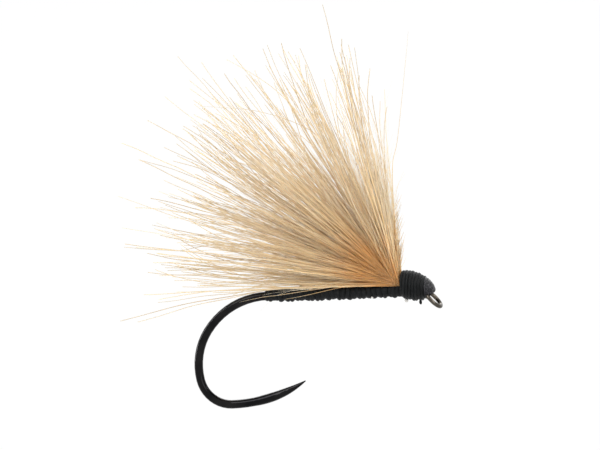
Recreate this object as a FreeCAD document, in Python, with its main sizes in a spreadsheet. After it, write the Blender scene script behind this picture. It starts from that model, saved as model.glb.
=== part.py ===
import FreeCAD, Part
import math
import os

import Sketcher
from FreeCAD import Placement, Rotation, Vector

# Dry fly on a barbless hook.  Millimetres.
# Origin: centre of the hook eye.  +X runs forward along the shank, +Z is up, +Y is the far side.

SIZES = [
    # hook: one bent wire
    ("wire_diameter", 0.475, "hook wire along shank and bend"),
    ("eye_hole_diameter", 0.88, "bore of the ring eye"),
    ("eye_wire_diameter", 0.22, "wire of the ring, drawn down from the shank's"),
    ("eye_land_length", 0.08, "straight land inside the eye's bore"),
    ("eye_droop", 48, "degrees that the eye turns down from the shank"),
    ("neck_radius", 0.30, "wire centre line where it turns down into the eye"),
    ("shank_length", 9.17, "eye centre to the start of the bend"),
    ("upper_radius", 4.33, "bend, first arc"),
    ("upper_sweep", 54.4, "degrees"),
    ("side_radius", 3.52, "bend, second arc"),
    ("side_sweep", 46.1, "degrees"),
    ("heel_radius", 1.70, "bend, tight arc at the bottom"),
    ("heel_sweep", 79.6, "degrees"),
    ("spear_radius", 8.21, "upswept spear that carries the point"),
    ("throat_sweep", 8.8, "degrees of the spear at full wire"),
    ("point_sweep", 22.0, "degrees of the spear that are ground to a point"),
    ("point_mid_diameter", 0.26, "ground point four fifths of the way out"),
    ("tip_diameter", 0.05, "very end of the point"),
    # thread on the shank
    ("wrap_clearance", 0.01, "between one wound layer and what it is wound on"),
    ("base_diameter", 0.56, "thread underlayer"),
    ("base_rear", 9.00, "behind the eye centre"),
    ("base_front", 0.72, "behind the eye centre"),
    ("abdomen_rear", 9.36, "behind the eye centre"),
    ("abdomen_turns", 26, "visible turns of the abdomen"),
    ("abdomen_rear_diameter", 0.72, "first turn"),
    ("abdomen_diameter", 0.85, "widest turns"),
    ("underbody_lift", 0.05, "body centre line above the shank"),
    ("ridge_height", 0.055, "crest of a turn above its valley"),
    ("thorax_rear", 2.41, "behind the eye centre"),
    ("thorax_turns", 3, "turns that the wing sits on"),
    ("thorax_diameter", 0.80, "crest to crest"),
    # head
    ("head_rear", 1.69, "rear face of the head, behind the eye centre"),
    ("head_length", 1.84, "rear face to nose"),
    ("head_diameter", 1.62, "widest turns of the head"),
    ("head_rear_diameter", 1.55, "at the rear face"),
    ("head_lift", 0.348, "head centre above the shank at its rear face"),
    ("head_drop", 0.41, "how far that centre sinks towards the nose"),
    ("head_belly_share", 0.25, "of the head's length, where it is widest"),
    ("nose_share", 0.14, "of the widest turns, the last turn at the nose"),
    ("head_turns", 11, "turns of the head in all"),
    ("whip_turns", 3, "of them, the turns of the whip finish"),
    ("cement_thickness", 0.09, "varnish over the whip finish"),
    ("eye_clearance", 0.02, "thread and varnish stay this far outside the eye's bore"),
    ("bead_diameter", 0.16, "run of varnish under the head"),
    ("bead_rear", 1.50, "behind the eye centre"),
    ("tag_diameter", 0.10, "cut end of the tying thread"),
    ("tag_length", 0.15, "how far it stands out"),
    ("tag_rear", 0.72, "behind the eye centre"),
    ("glue_diameter", 0.10, "drop of glue on the body's side"),
    ("glue_rear", 3.31, "behind the eye centre"),
    ("glue_below", 40, "degrees below the body's middle"),
    # wing
    ("tie_in_rear", 1.96, "tie-in of the hair, behind the eye centre"),
    ("tie_in_height", 0.735, "tie-in above the shank"),
    ("root_diameter", 0.52, "lashed bundle of hair at the tie-in"),
    ("root_width", 0.90, "across the hook"),
    ("root_gap", 0.09, "lashed bundle to the foot of each lock"),
    ("butt_rear_diameter", 0.84, "trimmed butts where they enter the head"),
    ("butt_front_diameter", 0.36, "trimmed butts at their front end"),
    ("butt_length", 1.05, "under the head's turns"),
    ("butt_lift", 0.48, "butts' centre line above the shank"),
    ("fan_first", 91.0, "degrees from straight ahead to the foremost locks"),
    ("fan_last", 186.0, "degrees from straight ahead to the rearmost locks"),
    ("lock_foot_diameter", 0.05, "lock of hair at its foot"),
    ("lock_belly_diameter", 1.20, "lock of hair at its widest"),
    ("lock_belly_share", 0.70, "of its length, where it is widest"),
    ("lock_tip_diameter", 0.40, "lock of hair at its tips"),
    ("splay_wide", 14.0, "degrees a side lock of three leans out"),
    ("splay_narrow", 7.0, "degrees a lock of a pair leans out"),
    ("splay_low", 13.0, "degrees the lowest pair leans out, past the body"),
    ("row_1_length", 12.3, "tie-in to tips, foremost row"),
    ("row_2_length", 15.2, "tie-in to tips"),
    ("row_3_length", 15.4, "tie-in to tips"),
    ("row_4_length", 16.6, "tie-in to tips"),
    ("row_5_length", 16.4, "tie-in to tips"),
    ("row_6_length", 15.8, "tie-in to tips"),
    ("row_7_length", 14.9, "tie-in to tips"),
    ("row_8_length", 14.4, "tie-in to tips, rearmost row"),
    ("hair_diameter", 0.05, "single loose hair"),
]

# How many locks each row of the fan has across the hook, front row first.
LOCKS_IN_ROW = (2, 3, 2, 3, 2, 3, 2, 2)

# Route of the hair in front of the wing: millimetres forward of the tie-in, and how far above it as a
# share of the foremost row's length.
STRAY_ROUTE = ((0.09, 0.275), (0.19, 0.495), (0.58, 0.62), (1.27, 0.943), (1.55, 1.083))
STRAY_FOOT = 0.06

# Routes of the hairs on the near side: millimetres behind the eye centre, degrees down from the top.
SIDE_ROUTES = {
    "side_hair_upper": ((3.83, 14), (5.2, 42), (6.87, 66), (8.4, 84), (9.3, 90), (10.1, 97), (10.7, 84)),
    "side_hair_lower": ((3.83, 32), (5.2, 58), (6.4, 84), (7.4, 104), (8.2, 118)),
}

# Of the shorter run at a corner of a hair's route, the share that its rounding takes up.
CORNER_SHARE = 0.45

# Where along the ground point its middle size is, and the belly fillet of a lock in belly diameters.
POINT_MID_SHARE = 0.8
BELLY_FILLET = 4

# Lengths closer than this count as the same.
SAME = 1e-3

doc = FreeCAD.newDocument("dry_fly")
sheet = doc.addObject("Spreadsheet::Sheet", "sizes")
for row, (alias, number, note) in enumerate(SIZES, start=1):
    sheet.set(f"A{row}", alias)
    sheet.set(f"B{row}", str(number))
    sheet.setAlias(f"B{row}", alias)
    sheet.set(f"C{row}", note)
doc.recompute()

nodes = []


def size(alias):
    return float(sheet.get(alias))


def turn(alias):
    return math.radians(size(alias))


# Places that follow from the sizes.
EYE_RING_RADIUS = size("eye_hole_diameter") / 2 + math.sqrt(
    (size("eye_wire_diameter") / 2) ** 2 - (size("eye_land_length") / 2) ** 2
)
SHANK_Z = EYE_RING_RADIUS * math.sin(turn("eye_droop")) + size("neck_radius") * (
    1 - math.cos(turn("eye_droop"))
)
EYE_TILT = Rotation(Vector(0, 1, 0), size("eye_droop"))
TIE_IN = Vector(-size("tie_in_rear"), 0, SHANK_Z + size("tie_in_height"))


def keep(obj, label):
    obj.Label = label
    nodes.append(obj)
    return obj


def origin_plane(body, role):
    return next(f for f in body.Origin.OriginFeatures if f.Role == role)


def new_sketch(body, name, role):
    sketch = body.newObject("Sketcher::SketchObject", name)
    sketch.AttachmentSupport = (origin_plane(body, role), [""])
    sketch.MapMode = "FlatFace"
    return sketch


def bind(sketch, name, expression, *constraint):
    """Adds a named constraint whose value comes from the sheet."""
    index = sketch.addConstraint(Sketcher.Constraint(*constraint))
    sketch.renameConstraint(index, name)
    sketch.setExpression(f"Constraints.{name}", expression)


def shape_node(label, shape):
    feature = doc.addObject("Part::Feature", label)
    feature.Shape = shape
    return keep(feature, label)


# --- hook -----------------------------------------------------------------------------------------

# Each arc of the wire, eye first: its radius and its turn.
HOOK_ARCS = (
    ("neck_radius", "eye_droop"),
    ("upper_radius", "upper_sweep"),
    ("side_radius", "side_sweep"),
    ("heel_radius", "heel_sweep"),
    ("spear_radius", "throat_sweep"),
    ("spear_radius", "point_sweep"),
)


def draw_hook_path(sketch):
    """Draws the wire's centre line from the ring back along the shank and round to the point."""
    droop = turn("eye_droop")
    place = Vector(-EYE_RING_RADIUS * math.cos(droop), EYE_RING_RADIUS * math.sin(droop), 0)
    ring_end = Vector(place)
    heading = math.pi - droop
    pieces = []
    for number, (radius, sweep) in enumerate(HOOK_ARCS):
        centre = place + Vector(-math.sin(heading), math.cos(heading), 0) * size(radius)
        first = heading - math.pi / 2
        circle = Part.Circle(centre, Vector(0, 0, 1), size(radius))
        arc = sketch.addGeometry(Part.ArcOfCircle(circle, first, first + turn(sweep)))
        bind(sketch, f"arc_{number}_radius", f"sizes.{radius}", "Radius", arc, size(radius))
        bind(sketch, f"arc_{number}_turn", f"sizes.{sweep} * 1deg", "Angle", arc, turn(sweep))
        pieces.append(arc)
        heading += turn(sweep)
        place = centre + Vector(math.sin(heading), -math.cos(heading), 0) * size(radius)
        if radius == "neck_radius":
            shank_end = Vector(-size("shank_length"), place.y, 0)
            pieces.append(sketch.addGeometry(Part.LineSegment(place, shank_end)))
            place = shank_end
    for before, after in zip(pieces, pieces[1:]):
        sketch.addConstraint(Sketcher.Constraint("Tangent", before, 2, after, 1))
    sketch.addConstraint(Sketcher.Constraint("Horizontal", pieces[1]))
    ring = (
        "(sizes.eye_hole_diameter / 2"
        " + sqrt(sizes.eye_wire_diameter^2 - sizes.eye_land_length^2) / 2)"
    )
    droop_angle = "(sizes.eye_droop * 1deg)"
    bind(sketch, "ring_x", f"{ring} * cos({droop_angle})", "DistanceX", pieces[0], 1, -1, 1, -ring_end.x)
    bind(sketch, "ring_z", f"{ring} * sin({droop_angle})", "DistanceY", -1, 1, pieces[0], 1, ring_end.y)
    bind(sketch, "bend_x", "sizes.shank_length", "DistanceX", pieces[1], 2, -1, 1, size("shank_length"))


def wire_section(body, path, name, edge, share, diameter):
    """A circle square to the wire, at a share of the way along one edge of its path."""
    section = body.newObject("Sketcher::SketchObject", name)
    section.AttachmentSupport = (path, [edge])
    section.MapMode = "NormalToEdge"
    section.MapPathParameter = share
    circle = section.addGeometry(Part.Circle(Vector(), Vector(0, 0, 1), size(diameter) / 2))
    section.addConstraint(Sketcher.Constraint("Coincident", circle, 3, -1, 1))
    bind(section, "across", f"sizes.{diameter}", "Diameter", circle, size(diameter))
    return section


def make_hook():
    body = doc.addObject("PartDesign::Body", "hook_body")
    path = new_sketch(body, "hook_path", "XZ_Plane")
    draw_hook_path(path)
    neck = body.newObject("PartDesign::AdditivePipe", "neck")
    neck.Profile = wire_section(body, path, "neck_at_ring", "Edge1", 0, "eye_wire_diameter")
    neck.Spine = (path, ["Edge1"])
    neck.Transformation = "Multisection"
    neck_end = wire_section(body, path, "neck_at_shank", "Edge1", 1, "wire_diameter")
    neck.Sections = [(neck_end, [""])]
    wire = body.newObject("PartDesign::AdditivePipe", "wire")
    wire.Profile = wire_section(body, path, "wire_section", "Edge2", 0, "wire_diameter")
    wire.Spine = (path, ["Edge2", "Edge3", "Edge4", "Edge5", "Edge6"])
    point = body.newObject("PartDesign::AdditivePipe", "ground_point")
    point.Profile = wire_section(body, path, "point_root", "Edge7", 0, "wire_diameter")
    point.Spine = (path, ["Edge7"])
    point.Transformation = "Multisection"
    middle = wire_section(body, path, "point_middle", "Edge7", POINT_MID_SHARE, "point_mid_diameter")
    tip = wire_section(body, path, "point_tip", "Edge7", 1, "tip_diameter")
    point.Sections = [(middle, [""]), (tip, [""])]
    ring = body.newObject("PartDesign::AdditiveTorus", "eye_ring")
    ring.AttachmentSupport = (origin_plane(body, "XY_Plane"), [""])
    ring.MapMode = "FlatFace"
    ring.AttachmentOffset = Placement(Vector(), EYE_TILT)
    ring.setExpression(
        "Radius1",
        "sizes.eye_hole_diameter / 2 + sqrt(sizes.eye_wire_diameter^2 - sizes.eye_land_length^2) / 2",
    )
    ring.setExpression("Radius2", "sizes.eye_wire_diameter / 2")
    bore = body.newObject("PartDesign::SubtractiveCylinder", "eye_bore")
    bore.AttachmentSupport = (origin_plane(body, "XY_Plane"), [""])
    bore.MapMode = "FlatFace"
    half = EYE_TILT.multVec(Vector(0, 0, -size("wire_diameter")))
    bore.AttachmentOffset = Placement(half, EYE_TILT)
    bore.setExpression("Radius", "sizes.eye_hole_diameter / 2")
    bore.setExpression("Height", "2 * sizes.wire_diameter")
    return keep(body, "hook")


def eye_and_neck(grow):
    """The ring, the way through it and the wire that leads to it, all grown by a clearance."""
    droop = turn("eye_droop")
    half_wire = size("eye_wire_diameter") / 2 + grow
    ring = Part.makeTorus(EYE_RING_RADIUS, half_wire)
    ring.Placement = Placement(Vector(), EYE_TILT)
    through = EYE_TILT.multVec(Vector(0, 0, 1))
    flare = size("eye_clearance")
    inside = Part.makeCone(
        EYE_RING_RADIUS, EYE_RING_RADIUS + flare, 2 * half_wire, through * -half_wire, through
    )
    way_radius = size("eye_hole_diameter") / 2 + flare
    way = Part.makeCone(way_radius, way_radius + flare, size("head_length"), Vector(), through)
    start = Vector(-EYE_RING_RADIUS * math.cos(droop), 0, EYE_RING_RADIUS * math.sin(droop))
    end = Vector(start.x - size("neck_radius") * math.sin(droop), 0, SHANK_Z)
    centre = Vector(end.x, 0, SHANK_Z - size("neck_radius"))
    half_way = Vector(math.sin(droop / 2), 0, math.cos(droop / 2)) * size("neck_radius")
    neck = Part.Wire(Part.Arc(start, centre + half_way, end).toShape())
    radius = size("wire_diameter") / 2 + grow
    outward = Vector(-math.cos(droop), 0, math.sin(droop))
    profile = Part.Wire(Part.Circle(start, outward, radius).toShape())
    bent = neck.makePipeShell([profile], True, False)
    shank = Part.makeCylinder(radius, size("head_rear") * 2, end, Vector(-1, 0, 0))
    return ring.fuse([inside, way, bent, shank])


# --- wound thread ---------------------------------------------------------------------------------


def wound_turns(rear_x, front_x, turns, centre_z, radius, grow=0.0):
    """One solid of rounded turns side by side; centre_z and radius are functions of x."""
    pitch = (front_x - rear_x) / turns
    ridge = size("ridge_height")
    discs = []
    for number in range(turns):
        left = rear_x + number * pitch
        middle = left + pitch / 2
        right = left + pitch
        z = centre_z(middle)
        low = Vector(left, 0, z + radius(left) - ridge + grow)
        crest = Vector(middle, 0, z + radius(middle) + grow)
        high = Vector(right, 0, z + radius(right) - ridge + grow)
        on_axis = Vector(right, 0, z)
        start = Vector(left, 0, z)
        outline = Part.Wire(
            [
                Part.LineSegment(start, low).toShape(),
                Part.Arc(low, crest, high).toShape(),
                Part.LineSegment(high, on_axis).toShape(),
                Part.LineSegment(on_axis, start).toShape(),
            ]
        )
        discs.append(Part.Face(outline).revolve(start, Vector(1, 0, 0), 360))
    if len(discs) == 1:
        return discs[0]
    return discs[0].fuse(discs[1:])


def base_bore():
    """The room that a layer over the thread base leaves for it and, behind it, for the bare wire."""
    clearance = size("wrap_clearance")
    front = Vector(clearance - size("base_front"), 0, SHANK_Z)
    base_length = size("base_rear") - size("base_front") + 2 * clearance
    backward = Vector(-1, 0, 0)
    over_base = Part.makeCylinder(size("base_diameter") / 2 + clearance, base_length, front, backward)
    rear_length = size("abdomen_rear") + size("wire_diameter")
    over_wire = Part.makeCylinder(size("wire_diameter") / 2 + clearance, rear_length, front, backward)
    return over_base.fuse(over_wire)


def make_thread_base():
    """The underlayer: a sleeve round the shank."""
    body = doc.addObject("PartDesign::Body", "thread_base_body")
    rings = new_sketch(body, "thread_base_rings", "YZ_Plane")
    for name, expression in (
        ("outer", "sizes.base_diameter"),
        ("inner", "sizes.wire_diameter + 2 * sizes.wrap_clearance"),
    ):
        circle = rings.addGeometry(Part.Circle(Vector(), Vector(0, 0, 1), size("base_diameter") / 2))
        rings.addConstraint(Sketcher.Constraint("Coincident", circle, 3, -1, 1))
        bind(rings, name, expression, "Diameter", circle, size("base_diameter"))
    sleeve = body.newObject("PartDesign::Pad", "thread_base_sleeve")
    sleeve.Profile = rings
    sleeve.setExpression("Length", "sizes.base_rear - sizes.base_front")
    body.Placement = Placement(Vector(-size("base_rear"), 0, SHANK_Z), Rotation())
    return keep(body, "thread_base")


def abdomen_swell(x):
    """From 0 at the rear end towards 1 over the first few turns."""
    return 1 - math.exp(-(x + size("abdomen_rear")) / (2 * size("abdomen_diameter")))


def body_centre(x):
    """Starts on the wire and lifts with the swell."""
    return SHANK_Z + size("underbody_lift") * abdomen_swell(x)


def abdomen_radius(x):
    """Swells over the first few turns, then thins a little towards the thorax over its front half."""
    rear = size("abdomen_rear_diameter") / 2
    full = size("abdomen_diameter") / 2
    share = (x + size("abdomen_rear")) / (size("abdomen_rear") - size("thorax_rear"))
    thinning = (full - size("thorax_diameter") / 2) * max(2 * share - 1, 0)
    return rear + (full - rear) * abdomen_swell(x) - thinning


def make_abdomen():
    rear = -size("abdomen_rear")
    front = -size("thorax_rear") - size("wrap_clearance")
    turns = wound_turns(rear, front, int(size("abdomen_turns")), body_centre, abdomen_radius)
    return shape_node("abdomen_wraps", turns.cut(base_bore()))


def make_thorax():
    rear = -size("thorax_rear")
    front = -size("head_rear") - size("wrap_clearance")
    radius = size("thorax_diameter") / 2
    turns = wound_turns(rear, front, int(size("thorax_turns")), body_centre, lambda x: radius)
    return shape_node("thorax_wraps", turns.cut(base_bore()))


# --- head -----------------------------------------------------------------------------------------

def head_share(x):
    return (x + size("head_rear")) / size("head_length")


def head_radius(x):
    """Rises a little from the rear face to the belly, then rounds off to the nose as an ellipse does."""
    share = head_share(x)
    belly_share = size("head_belly_share")
    belly = size("head_diameter") / 2
    if share < belly_share:
        rear = size("head_rear_diameter") / 2
        return rear + (belly - rear) * math.sin(math.pi / 2 * share / belly_share)
    past_belly = (share - belly_share) / (1 - belly_share)
    return belly * max(math.sqrt(max(1 - past_belly**2, 0)), size("nose_share"))


def head_centre(x):
    """Sinks towards the nose along three quarters of a parabola and a quarter of a straight line."""
    share = max(head_share(x), 0)
    return SHANK_Z + size("head_lift") - size("head_drop") * (share + 3 * share**2) / 4


def butts(grow):
    """The cone of hair butts that the head is wound over."""
    rear = Vector(-size("head_rear") + size("wrap_clearance") - grow, 0, SHANK_Z + size("butt_lift"))
    return Part.makeCone(
        size("butt_rear_diameter") / 2 + grow,
        size("butt_front_diameter") / 2 + grow,
        size("butt_length") + 2 * grow,
        rear,
        Vector(1, 0, 0),
    )


def head_turn_x(number):
    return -size("head_rear") + size("head_length") * number / int(size("head_turns"))


def largest_solid(shape):
    """Leaves out crumbs of a wound layer that a cut leaves inside the eye's ring."""
    return max(shape.Solids, key=lambda solid: solid.Volume)


def head_part(first, last):
    solid = wound_turns(
        head_turn_x(first), head_turn_x(last), last - first, head_centre, head_radius
    )
    clearance = size("wrap_clearance")
    return largest_solid(solid.cut([base_bore(), eye_and_neck(clearance), butts(clearance)]))


def make_butts():
    return shape_node("wing_butts", butts(0).cut(base_bore()))


def make_head():
    whip_start = int(size("head_turns")) - int(size("whip_turns"))
    shape_node("head_wraps", head_part(0, whip_start))
    shape_node("whip_finish", head_part(whip_start, int(size("head_turns"))))


def make_cement():
    """Varnish over the whip finish: a skin that follows the turns inside and is smooth outside."""
    last = int(size("head_turns"))
    first = last - int(size("whip_turns"))
    clearance = size("wrap_clearance")
    rings = []
    for step in range(2 * (last - first) + 1):
        x = head_turn_x(first + step / 2)
        radius = head_radius(x) + clearance + size("cement_thickness")
        circle = Part.Circle(Vector(x, 0, head_centre(x)), Vector(1, 0, 0), radius)
        rings.append(Part.Wire(circle.toShape()))
    outside = Part.makeLoft(rings, True, False)
    wound = wound_turns(
        head_turn_x(first), head_turn_x(last), last - first, head_centre, head_radius, clearance
    )
    skin = outside.cut(wound).cut(eye_and_neck(size("cement_thickness")))
    return shape_node("head_cement", largest_solid(skin))


def make_bead():
    """A run of varnish that hangs under the head."""
    bead = doc.addObject("Part::Sphere", "varnish_bead_shape")
    bead.setExpression("Radius", "sizes.bead_diameter / 2")
    x = -size("bead_rear")
    low = head_centre(x) - head_radius(x)
    gap = size("wrap_clearance")
    bead.Placement = Placement(Vector(x, 0, low - gap - size("bead_diameter") / 2), Rotation())
    return keep(bead, "varnish_bead")


def make_tag():
    """The cut end of the tying thread, just under the head."""
    tag = doc.addObject("Part::Cylinder", "thread_tag_shape")
    tag.setExpression("Radius", "sizes.tag_diameter / 2")
    tag.setExpression("Height", "sizes.tag_length")
    x = -size("tag_rear")
    low = head_centre(x) - head_radius(x)
    top = Vector(x, 0, low - size("wrap_clearance") - size("ridge_height"))
    tag.Placement = Placement(top, Rotation(Vector(1, 0, 0), 180))
    return keep(tag, "thread_tag")


def make_glue_spot():
    """A drop of glue on the near side of the body, a little below its middle."""
    spot = doc.addObject("Part::Sphere", "glue_spot_shape")
    spot.setExpression("Radius", "sizes.glue_diameter / 2")
    x = -size("glue_rear")
    side = Rotation(Vector(1, 0, 0), 90 + size("glue_below"))
    reach = abdomen_radius(x) + size("wrap_clearance") + size("glue_diameter") / 2
    outward = side.multVec(Vector(0, 0, 1))
    spot.Placement = Placement(Vector(x, 0, body_centre(x)) + outward * reach, side)
    return keep(spot, "glue_spot")


# --- wing -----------------------------------------------------------------------------------------


def make_wing_root():
    """The bundle of hair lashed down at the tie-in, pinched to an egg that lies across the hook."""
    bundle = doc.addObject("Part::Ellipsoid", "wing_root_shape")
    bundle.setExpression("Radius1", "sizes.root_diameter / 2")
    bundle.setExpression("Radius2", "sizes.root_diameter / 2")
    bundle.setExpression("Radius3", "sizes.root_width / 2")
    bundle.Placement = Placement(TIE_IN, Rotation())
    return keep(bundle, "wing_root")


def draw_lock(sketch, length):
    """Half outline of a lock of hair: a long cone from its foot to its belly, then a taper to its tips."""
    foot_start = size("root_diameter") / 2 + size("root_gap")
    belly = size(length) * size("lock_belly_share")
    corners = [
        Vector(0, foot_start, 0),
        Vector(size("lock_foot_diameter") / 2, foot_start, 0),
        Vector(size("lock_belly_diameter") / 2, belly, 0),
        Vector(size("lock_tip_diameter") / 2, size(length), 0),
        Vector(0, size(length), 0),
    ]
    sides = [
        sketch.addGeometry(Part.LineSegment(a, b))
        for a, b in zip(corners, corners[1:] + corners[:1])
    ]
    for before, after in zip(sides, sides[1:] + sides[:1]):
        sketch.addConstraint(Sketcher.Constraint("Coincident", before, 2, after, 1))
    foot, cone, taper, tip, axis = sides
    for level in (foot, tip):
        sketch.addConstraint(Sketcher.Constraint("Horizontal", level))
    sketch.addConstraint(Sketcher.Constraint("PointOnObject", foot, 1, -2))
    sketch.addConstraint(Sketcher.Constraint("PointOnObject", tip, 2, -2))
    foot_height = "sizes.root_diameter / 2 + sizes.root_gap"
    belly_height = f"sizes.{length} * sizes.lock_belly_share"
    bind(sketch, "foot_height", foot_height, "DistanceY", -1, 1, foot, 1, foot_start)
    bind(sketch, "belly_height", belly_height, "DistanceY", -1, 1, cone, 2, belly)
    bind(sketch, "tip_height", f"sizes.{length}", "DistanceY", -1, 1, tip, 1, size(length))
    for name, line, diameter in (
        ("foot_half", foot, "lock_foot_diameter"),
        ("belly_half", cone, "lock_belly_diameter"),
        ("tip_half", taper, "lock_tip_diameter"),
    ):
        half = size(diameter) / 2
        bind(sketch, name, f"sizes.{diameter} / 2", "DistanceX", -1, 1, line, 2, half)


def make_lock(label, length, fan, splay):
    """One lock of wing hair: a spindle about its own Z, laid out from the tie-in."""
    body = doc.addObject("PartDesign::Body", f"{label}_body")
    outline = new_sketch(body, f"{label}_outline", "XZ_Plane")
    draw_lock(outline, length)
    spindle = body.newObject("PartDesign::Revolution", f"{label}_spindle")
    spindle.Profile = outline
    spindle.ReferenceAxis = (outline, ["V_Axis"])
    spindle.Angle = 360
    doc.recompute()
    belly = spindle.Shape.BoundBox.XMax
    rim = [
        f"Edge{n}"
        for n, e in enumerate(spindle.Shape.Edges, start=1)
        if e.Closed and abs(e.BoundBox.XMax - belly) < SAME
    ]
    rounded = body.newObject("PartDesign::Fillet", f"{label}_belly")
    rounded.Base = (spindle, rim)
    rounded.setExpression("Radius", f"sizes.lock_belly_diameter * {BELLY_FILLET}")
    lean = Rotation(Vector(1, 0, 0), -splay)
    lay_back = Rotation(Vector(0, 1, 0), 90 - fan)
    body.Placement = Placement(TIE_IN, lay_back.multiply(lean))
    return keep(body, label)


def row_angle(number):
    """Degrees from straight ahead to one row of the fan, counted from 0 at the front."""
    last_row = len(LOCKS_IN_ROW) - 1
    return size("fan_first") + (size("fan_last") - size("fan_first")) * number / last_row


def make_locks():
    for number, count in enumerate(LOCKS_IN_ROW):
        if count == 3:
            sides = (("near", -size("splay_wide")), ("middle", 0), ("far", size("splay_wide")))
        elif number == len(LOCKS_IN_ROW) - 1:
            sides = (("near", -size("splay_low")), ("far", size("splay_low")))
        else:
            sides = (("near", -size("splay_narrow")), ("far", size("splay_narrow")))
        for side, splay in sides:
            label = f"wing_hair_row{number + 1}_{side}"
            make_lock(label, f"row_{number + 1}_length", row_angle(number), splay)


def rounded_path(points):
    """Straight runs through the points, joined by tangent arcs as large as the runs allow."""
    edges = []
    start = points[0]
    for before, corner, after in zip(points, points[1:], points[2:]):
        back = (before - corner).normalize()
        ahead = (after - corner).normalize()
        reach = CORNER_SHARE * min(before.distanceToPoint(corner), after.distanceToPoint(corner))
        half_turn = (math.pi - back.getAngle(ahead)) / 2
        radius = reach / math.tan(half_turn)
        inward = (back + ahead).normalize()
        middle = corner + inward * (radius / math.cos(half_turn) - radius)
        entry = corner + back * reach
        leave = corner + ahead * reach
        edges.append(Part.LineSegment(start, entry).toShape())
        edges.append(Part.Arc(entry, middle, leave).toShape())
        start = leave
    edges.append(Part.LineSegment(start, points[-1]).toShape())
    return Part.Wire(edges)


def hair(label, points):
    """A single hair: a thin round sweep along points chosen by hand."""
    circle = Part.Circle(points[0], points[1] - points[0], size("hair_diameter") / 2)
    shape = rounded_path(points).makePipeShell([Part.Wire(circle.toShape())], True, False)
    return shape_node(label, shape)


def make_loose_hairs():
    """Hairs that have left the wing: one stands up in front of it, two lie along the body's near side."""
    foot = size("root_diameter") / 2 + size("root_gap")
    stray = [TIE_IN + Vector(STRAY_FOOT, 0, foot)]
    for forward, rise in STRAY_ROUTE:
        stray.append(TIE_IN + Vector(forward, 0, size("row_1_length") * rise))
    hair("stray_front_hair", stray)
    for label, route in SIDE_ROUTES.items():
        hair(label, [beside_body(rear, angle) for rear, angle in route])


def beside_body(rear, angle):
    """A point just off the near side of the body or, behind it, of the bend's wire.

    The angle is in degrees down from its top.
    """
    stand_off = size("hair_diameter") + 2 * size("wrap_clearance")
    side = math.radians(angle)
    if rear <= size("abdomen_rear"):
        out = abdomen_radius(-rear) + stand_off
        z = body_centre(-rear)
    else:
        out = size("wire_diameter") / 2 + stand_off
        past = max(rear - size("shank_length"), 0)
        z = SHANK_Z - size("upper_radius") + math.sqrt(size("upper_radius") ** 2 - past**2)
    return Vector(-rear, -out * math.sin(side), z + out * math.cos(side))


make_hook()
make_thread_base()
make_abdomen()
make_thorax()
make_butts()
make_head()
make_cement()
make_bead()
make_tag()
make_glue_spot()
make_wing_root()
make_locks()
make_loose_hairs()
doc.recompute()

for obj in doc.Objects:
    broken = [state for state in obj.State if state in ("Invalid", "Error")]
    if broken:
        raise RuntimeError(f"{obj.Label} is {broken}")
for node in nodes:
    if node.Shape.isNull() or not node.Shape.isValid() or not node.Shape.Solids:
        raise RuntimeError(f"{node.Label} has no valid solid")

os.makedirs("parts", exist_ok=True)
for node in nodes:
    node.Shape.exportStep(f"parts/{node.Label}.step")
    box = node.Shape.BoundBox
    print(
        f"{node.Label}: {len(node.Shape.Solids)} solid(s), {node.Shape.Volume:.4f} mm3,"
        f" x {box.XMin:.2f}..{box.XMax:.2f} y {box.YMin:.2f}..{box.YMax:.2f}"
        f" z {box.ZMin:.2f}..{box.ZMax:.2f}"
    )
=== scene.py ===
import math

import bpy
import numpy as np
from mathutils import Matrix, Vector


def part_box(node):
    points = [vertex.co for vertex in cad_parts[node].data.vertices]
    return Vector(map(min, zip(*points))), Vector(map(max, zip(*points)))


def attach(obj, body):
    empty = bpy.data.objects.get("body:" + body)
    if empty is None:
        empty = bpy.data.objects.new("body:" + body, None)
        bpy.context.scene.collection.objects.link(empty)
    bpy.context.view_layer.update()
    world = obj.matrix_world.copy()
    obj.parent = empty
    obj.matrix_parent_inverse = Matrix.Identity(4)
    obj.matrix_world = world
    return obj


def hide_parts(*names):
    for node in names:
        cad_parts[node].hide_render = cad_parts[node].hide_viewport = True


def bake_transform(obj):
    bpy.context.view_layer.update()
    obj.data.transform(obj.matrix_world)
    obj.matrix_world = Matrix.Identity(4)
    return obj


# Looks of the dry fly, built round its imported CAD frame.  Shapes are worked out in millimetres in the
# part's own frame (origin at the hook eye, +X forward, +Z up, -Y the near side) and made in metres.

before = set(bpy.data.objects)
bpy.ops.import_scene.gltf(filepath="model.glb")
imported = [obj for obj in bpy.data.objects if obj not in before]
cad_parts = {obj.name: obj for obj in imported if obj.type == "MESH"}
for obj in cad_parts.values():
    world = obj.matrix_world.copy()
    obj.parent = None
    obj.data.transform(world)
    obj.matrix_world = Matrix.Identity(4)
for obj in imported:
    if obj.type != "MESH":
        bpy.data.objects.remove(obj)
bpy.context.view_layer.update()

MM = 0.001
TAU = 2 * math.pi


def corners(node):
    """Lowest and highest corner of a CAD node, in millimetres."""
    low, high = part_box(node)
    return np.array(low) / MM, np.array(high) / MM


# --- places, in millimetres: read from the frame, then the hook's own sizes ------------------------

BASE_LOW, BASE_HIGH = corners("thread_base")
BODY_LOW, BODY_HIGH = corners("abdomen_wraps")
THORAX_LOW, THORAX_HIGH = corners("thorax_wraps")
ROOT_LOW, ROOT_HIGH = corners("wing_root")
SHANK_Z = (BASE_LOW[2] + BASE_HIGH[2]) / 2
TIE_IN = (ROOT_LOW + ROOT_HIGH) / 2

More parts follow.
